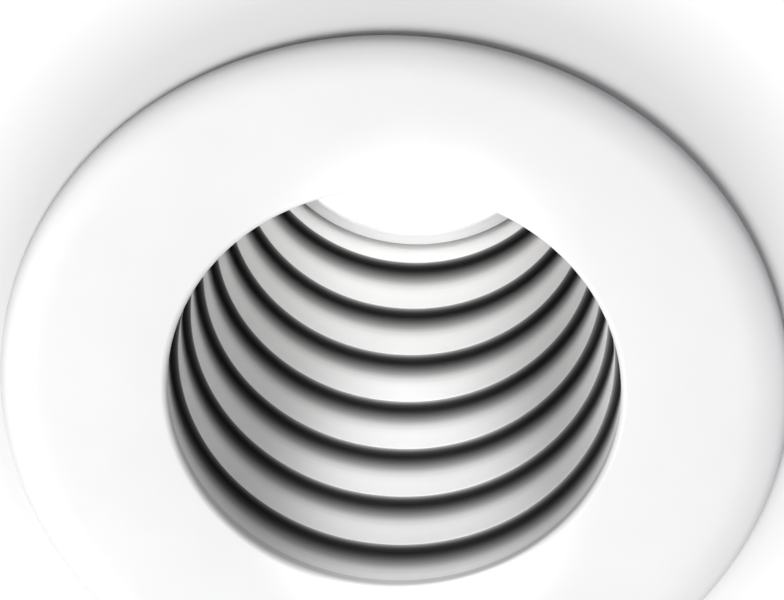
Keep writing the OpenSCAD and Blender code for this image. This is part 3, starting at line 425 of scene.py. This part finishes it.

# The baffle is spun and pressed from sheet, and enamelled matt white inside. Each step's underside is
# painted dark, and the dark fades out down the land below it: painted shade where each step shadows the
# lamp's light.
# Its mouth flange is clamped on the trim's bosses, and its far flange carries the lamp's holder.
baffle_t = 1.2
bend_r = 0.2
first_land_r = 34.6
throat_r = 25.38
step_count = 7
first_step = 10.8
step_h = 12.5
step_w = (first_land_r - throat_r) / step_count
flange_r = 47.6
far_flange_r = 34.57
lamp_back = 4.7
flange_over_lamp = 2.5
z_first = z_face + first_step
z_boss = z_rear + boss_h
z_can = z_boss + baffle_t
z_lamp = z_first + (step_count - 1) * step_h + lamp_back
z_throat = z_lamp + flange_over_lamp
z_ring = z_throat + baffle_t
inner = [(first_land_r, z_rear)]
outer = []
for k in range(step_count):
    z = z_first + k * step_h
    r = first_land_r - k * step_w
    inner += [(r, z), (r - step_w, z)]
    outer = [(r - step_w + baffle_t, z + baffle_t), (r + baffle_t, z + baffle_t)] + outer
inner.append((throat_r, z_ring))
outside_r = first_land_r + baffle_t
outer = [(far_flange_r, z_ring), (far_flange_r, z_throat), (throat_r + baffle_t, z_throat)] + outer
outer += [(outside_r, z_can), (flange_r, z_can), (flange_r, z_boss), (outside_r, z_boss)]
outer.append((outside_r, z_rear))
baffle = turned(bmesh.new(), eased(inner + outer, bend_r, 4), 224)
land, step, outside = range(3)
for face in baffle.faces:
    middle = face.calc_center_median()
    faces_axis = face.normal.x * middle.x + face.normal.y * middle.y < 1e-6
    faces_down = face.normal.z < -0.6
    in_bore = math.hypot(middle.x, middle.y) < (first_land_r + bend_r) * mm
    past_mouth = middle.z > (z_rear + 1) * mm
    if faces_down and in_bore:
        face.material_index = step if past_mouth else land
    else:
        face.material_index = land if faces_axis else outside


def share_of_step(tree, along, start, end):
    """How far through its own step a point lies, where the first step runs from start to end."""
    steps = add(tree, "MapRange", {0: along, 1: start * mm, 2: end * mm}, clamp=False).outputs[0]
    return add(tree, "Math", {0: steps}, operation="FRACT").outputs[0]


land_shade_stops = (
    (0.3, 1), (0.425, 0.96), (0.55, 0.77), (0.62, 0.55), (0.675, 0.37), (0.74, 0.24), (0.8, 0.14),
    (0.87, 0.06), (0.925, 0.025), (1, 0.01)
)
step_shade_stops = ((0, 0.01), (0.3, 0.03), (0.55, 0.08), (0.8, 0.24), (1, 0.5))
enamel_low = (0.87, 0.87, 0.87)
enamel_high = (0.90, 0.90, 0.90)
baffle_enamel, tree, shader = enamel("baffle_enamel", enamel_low, enamel_high, 0.6, 0.002)
shader.inputs["Specular IOR Level"].default_value = 0.25
# Painted shade: the top of each land, just under the step above, is painted dark, fading out downwards.
up_land = share_of_step(tree, height_of(tree), z_first, z_first + step_h)
shaded(tree, shader, up_land, land_shade_stops)
step_shade_enamel, tree, shader = enamel("step_shade_enamel", enamel_low, enamel_high, 0.8, 0.002)
shader.inputs["Specular IOR Level"].default_value = 0.1
# Painted shade: each step's underside is painted dark, darkest where it meets the land below and lighter
# towards its inner edge.
in_step = share_of_step(tree, from_axis(tree), first_land_r, first_land_r - step_w)
shaded(tree, shader, in_step, step_shade_stops)
baffle_outside, tree, shader = new_finish("baffle_outside", 0.9, 0.42)
where = spot(tree, (1, 1, 14))
spun_sheet = tones(tree, grain(tree, where, 300), (0.5, 0.51, 0.52), (0.66, 0.67, 0.68))
tree.links.new(spun_sheet, shader.inputs["Base Color"])
relief(tree, shader, grain(tree, where, 900), 0.01)
baffle_finishes = [baffle_enamel, step_shade_enamel, baffle_outside]
fitted(baffle, "stepped_baffle", "root", "baffle_enamel", baffle_finishes, "baffle", sharp=40)

# The lamp plugs in from below. Its front is a slightly crowned lens of frosted glass, seated in the
# rim of the lamp's body, and it glows evenly, a little less towards its edge.
lamp_r = 24.8
lamp_rim_t = 1.8
lens_back = 0.8
lens_t = 2
lens_crown = 0.6
lens_steps = 16
lens_r = lamp_r - lamp_rim_t
z_lens = z_lamp + lens_back
even_glow_r = 0.7 * lens_r
glow_middle = 1.15
glow_edge = 0.7
crown = []
for i in range(lens_steps + 1):
    share = i / lens_steps
    crown.append((lens_r * share, z_lens - lens_crown * (1 - share ** 2)))
crown += [(lens_r, z_lens + lens_t), (0, z_lens + lens_t)]
lens = turned(bmesh.new(), crown, 128)
lens_glass, tree, shader = new_finish("lens_glass", 0, 0.45)
ripple = add(tree, "TexVoronoi", {"Vector": spot(tree), "Scale": 420}).outputs["Distance"]
frosted = tones(tree, ripple, (1, 0.985, 0.95), (1, 1, 0.99), 0.1, 0.7)
tree.links.new(frosted, shader.inputs["Base Color"])
shader.inputs["Emission Color"].default_value = (1, 0.99, 0.97, 1)
to_edge = {0: from_axis(tree), 1: even_glow_r * mm, 2: lens_r * mm, 3: glow_middle, 4: glow_edge}
tree.links.new(add(tree, "MapRange", to_edge).outputs[0], shader.inputs["Emission Strength"])
relief(tree, shader, ripple, 0.2)
fitted(lens, "lamp_front_lens", "lamp", "lens_glass", lens_glass, "lamp_lens")


# Behind the lens the lamp is a finned die-cast body with a white coat, a board with the light
# sources, and a moulded cap with two pins. These pieces and all that follow keep their CAD shapes,
# with their corners broken by a small bevel, as pressed, cast and moulded parts have.
def from_solid(node, ease, cuts=()):
    """The CAD node's own mesh, welded, with its flats made whole and its sharp edges eased.

    Long walls are cut at the heights given, so that a slot's shading stays beside the slot."""
    bm = bmesh.new()
    bm.from_mesh(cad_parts[node].data)
    bmesh.ops.remove_doubles(bm, verts=bm.verts, dist=2e-7)
    bmesh.ops.dissolve_limit(bm, angle_limit=math.radians(0.6), verts=bm.verts, edges=bm.edges)
    for height in cuts:
        whole = bm.verts[:] + bm.edges[:] + bm.faces[:]
        bmesh.ops.bisect_plane(bm, geom=whole, plane_co=(0, 0, height * mm), plane_no=(0, 0, 1))
    if ease:
        crisp = [e for e in bm.edges if len(e.link_faces) == 2 and e.calc_face_angle() > math.radians(38)]
        cut = dict(segments=2, profile=0.5, affect="EDGES", clamp_overlap=True, material=-1)
        bmesh.ops.bevel(bm, geom=crisp, offset=ease * mm, **cut)
    return bm


def dress(node, name, body, slot, material, ease, cuts=(), sharp=35):
    """Makes the finished piece of a CAD node that keeps its shape."""
    return fitted(from_solid(node, ease, cuts), name, body, slot, material, node, sharp=sharp)


def metal(name, low, high, roughness, stretch, fine, depth):
    """Bare or plated metal: two tones along its working direction, and fine scratches."""
    finish, tree, shader = new_finish(name, 1, roughness)
    streak = grain(tree, spot(tree, stretch), fine, 4)
    tree.links.new(tones(tree, streak, low, high), shader.inputs["Base Color"])
    tree.links.new(span(tree, streak, roughness - 0.08, roughness + 0.1), shader.inputs["Roughness"])
    relief(tree, shader, streak, depth)
    return finish


def moulded(name, low, high, roughness, fine, depth):
    """Moulded plastic, rubber or ceramic: a faint tone and the fine grain of its mould."""
    finish, tree, shader = new_finish(name, 0, roughness)
    where = spot(tree)
    tree.links.new(tones(tree, grain(tree, where, 90), low, high), shader.inputs["Base Color"])
    skin = grain(tree, where, fine, 2)
    tree.links.new(span(tree, skin, roughness - 0.07, roughness + 0.07), shader.inputs["Roughness"])
    relief(tree, shader, skin, depth)
    return finish


lamp_enamel = enamel("lamp_enamel", (0.76, 0.76, 0.76), (0.82, 0.82, 0.82), 0.5, 0.01)[0]
board_white = moulded("board_white", (0.86, 0.86, 0.84), (0.92, 0.92, 0.9), 0.5, 1200, 0.005)
cap_plastic = moulded("cap_plastic", (0.84, 0.84, 0.82), (0.9, 0.9, 0.88), 0.3, 900, 0.006)
pin_nickel = metal("pin_nickel", (0.62, 0.6, 0.56), (0.78, 0.77, 0.73), 0.25, (1, 1, 6), 900, 0.005)
dress("lamp_body", "lamp_heat_sink", "lamp", "lamp_enamel", lamp_enamel, 0.25)
dress("led_board", "lamp_board", "lamp", "board_white", board_white, 0.08)
dress("lamp_cap", "lamp_base_cap", "lamp", "cap_plastic", cap_plastic, 0.3)
dress("lamp_pins", "lamp_contact_pins", "lamp", "pin_nickel", pin_nickel, 0.2)

# A spring-steel ring lies on the baffle's far flange. Its three fingers stand up round the lamp's
# body, a hair's breadth away, and keep the lamp in the middle.
spring_steel = metal("spring_steel", (0.3, 0.31, 0.34), (0.5, 0.51, 0.55), 0.3, (1, 1, 5), 1100, 0.006)
dress("lamp_retainer", "retaining_ring", "root", "spring_steel", spring_steel, 0.12)

# The strap is bent from galvanised sheet, whose zinc shows as flat flakes of different greys. Its feet
# stand on the baffle's far flange, and it carries the holder above the lamp.
galvanised, tree, shader = new_finish("galvanised", 0.95, 0.4)
where = spot(tree)
wander = add(tree, "TexNoise", {"Vector": where, "Scale": 260}).outputs[1]
bent = add(tree, "MixRGB", {0: 0.002, 1: where, 2: wander}).outputs[0]
spangle = add(tree, "TexVoronoi", {"Vector": bent, "Scale": 340}).outputs["Color"]
flake = add(tree, "RGBToBW", {0: spangle}).outputs[0]
zinc_greys = tones(tree, flake, (0.46, 0.48, 0.5), (0.58, 0.6, 0.62), 0.15, 0.85)
tree.links.new(zinc_greys, shader.inputs["Base Color"])
tree.links.new(span(tree, flake, 0.36, 0.5), shader.inputs["Roughness"])
relief(tree, shader, grain(tree, where, 900), 0.01)
dress("holder_strap", "bent_strap", "root", "galvanised_sheet", galvanised, 0.2)

# The lamp's holder is a block of unglazed ceramic with two brass contact sleeves. Two zinc-plated
# screws hold it to the strap, and two more hold the strap to the baffle's far flange.
holder_ceramic = moulded("holder_ceramic", (0.8, 0.78, 0.72), (0.89, 0.87, 0.82), 0.62, 1300, 0.02)
contact_brass = metal("contact_brass", (0.62, 0.46, 0.18), (0.8, 0.64, 0.3), 0.3, (1, 1, 4), 900, 0.005)
zinc = metal("zinc", (0.56, 0.57, 0.58), (0.72, 0.73, 0.74), 0.3, (1, 1, 1), 800, 0.005)
dress("lamp_holder", "ceramic_holder", "root", "holder_ceramic", holder_ceramic, 0.4)
dress("holder_contacts", "brass_contacts", "root", "contact_brass", contact_brass, 0.08)
dress("strap_screws", "strap_screw_pair", "root", "zinc_screws", zinc, 0.12)
dress("holder_screws", "holder_screw_pair", "root", "zinc_screws", zinc, 0.12)

# The can is a drawn cup of the same galvanised sheet over the baffle and lamp, with cooling slots near
# its top. Three screws go through its flange and the baffle's into the trim's bosses.
slot_low = 124
slot_high = 140
slot_room = 1.5
slot_cuts = (slot_low - slot_room, slot_high + slot_room)
dress("can", "drawn_can", "root", "galvanised_sheet", galvanised, 0.3, slot_cuts)
dress("can_screws", "trim_screws", "root", "zinc_screws", zinc, 0.2)

# Each of the two clips is a zinc-plated bracket riveted to the can, a pin, a wound torsion spring and
# a flat spring-steel arm. The arm's soft pad presses down on the back of the ceiling. The spring is
# baked in place and does not turn with the arm.
rivet_alloy = metal("rivet_alloy", (0.66, 0.67, 0.68), (0.78, 0.79, 0.8), 0.35, (1, 1, 1), 900, 0.005)
bracket_zinc = metal("bracket_zinc", (0.52, 0.54, 0.55), (0.68, 0.69, 0.7), 0.34, (1, 1, 4), 1000, 0.006)
pad_rubber = moulded("pad_rubber", (0.035, 0.035, 0.04), (0.06, 0.06, 0.065), 0.65, 1100, 0.02)
for side, way in (("right", 1), ("left", -1)):
    arm_body = f"{side}_clip"
    dress(f"clip_bracket_{side}", f"bracket_{side}", "root", "bracket_zinc", bracket_zinc, 0.2)
    dress(f"bracket_rivets_{side}", f"rivets_{side}", "root", "rivet_alloy", rivet_alloy, 0.25)
    dress(f"clip_pin_{side}", f"pin_{side}", "root", "zinc_screws", zinc, 0.2)
    dress(f"clip_arm_{side}", f"arm_{side}", arm_body, "spring_steel", spring_steel, 0.2)
    dress(f"clip_pad_{side}", f"pad_{side}", arm_body, "pad_rubber", pad_rubber, 0.4)
    node = f"clip_spring_{side}"
    wound = dress(node, f"spring_{side}", None, "spring_steel", spring_steel, 0, sharp=80)
    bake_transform(wound)

# The connection box is moulded in black plastic, a tray and a lid. Three screws hold the tray on the
# can, and the lid turns on a plated steel pin.
box_plastic = moulded("box_plastic", (0.018, 0.018, 0.02), (0.03, 0.03, 0.033), 0.5, 1500, 0.02)
lid_plastic = moulded("lid_plastic", (0.02, 0.02, 0.022), (0.034, 0.034, 0.037), 0.48, 1500, 0.02)
dress("box_base", "box_tray", "root", "box_plastic", box_plastic, 0.35)
dress("box_lid", "box_cover", "lid", "lid_plastic", lid_plastic, 0.35)
dress("lid_pin", "hinge_pin", "root", "zinc_screws", zinc, 0.15)
dress("box_screws", "tray_screws", "root", "zinc_screws", zinc, 0.12)

# The lamp's two leads, brown and blue, are round plastic-covered wires. They come up from the holder
# through a soft rubber grommet in the can's top.
seal_rubber = moulded("seal_rubber", (0.02, 0.02, 0.02), (0.035, 0.035, 0.035), 0.7, 900, 0.01)
lead_brown = moulded("lead_brown", (0.11, 0.035, 0.012), (0.15, 0.05, 0.018), 0.35, 900, 0.004)
lead_blue = moulded("lead_blue", (0.01, 0.07, 0.36), (0.015, 0.1, 0.45), 0.35, 900, 0.004)
dress("lead_grommet", "soft_grommet", "root", "seal_rubber", seal_rubber, 0.3)
dress("lead_live", "brown_lead", "root", "lead_brown", lead_brown, 0, sharp=80)
dress("lead_neutral", "blue_lead", "root", "lead_blue", lead_blue, 0, sharp=80)

# The leads end in a white moulded terminal block, in brass sleeves with clamping screws. One screw
# holds the block in the tray.
block_plastic = moulded("block_plastic", (0.78, 0.79, 0.77), (0.86, 0.87, 0.85), 0.42, 900, 0.008)
dress("terminal_block", "terminal_housing", "root", "block_plastic", block_plastic, 0.25)
dress("terminal_sleeves", "brass_sleeves", "root", "contact_brass", contact_brass, 0.1)
dress("terminal_screws", "clamping_screws", "root", "zinc_screws", zinc, 0.08)
dress("block_screw", "housing_screw", "root", "zinc_screws", zinc, 0.12)

# The supply cable's gland is moulded in black plastic. Its body goes through the tray's wall and is
# held by a nut inside, and its dome nut squeezes a soft ring round the cable.
gland_plastic = moulded("gland_plastic", (0.012, 0.012, 0.013), (0.02, 0.02, 0.022), 0.36, 900, 0.006)
dress("gland_body", "gland_stub", "root", "gland_plastic", gland_plastic, 0.25)
dress("gland_locknut", "gland_inner_nut", "root", "gland_plastic", gland_plastic, 0.2)
dress("gland_seal", "gland_soft_ring", "root", "seal_rubber", seal_rubber, 0.2)
dress("gland_nut", "gland_dome", "root", "gland_plastic", gland_plastic, 0.2)
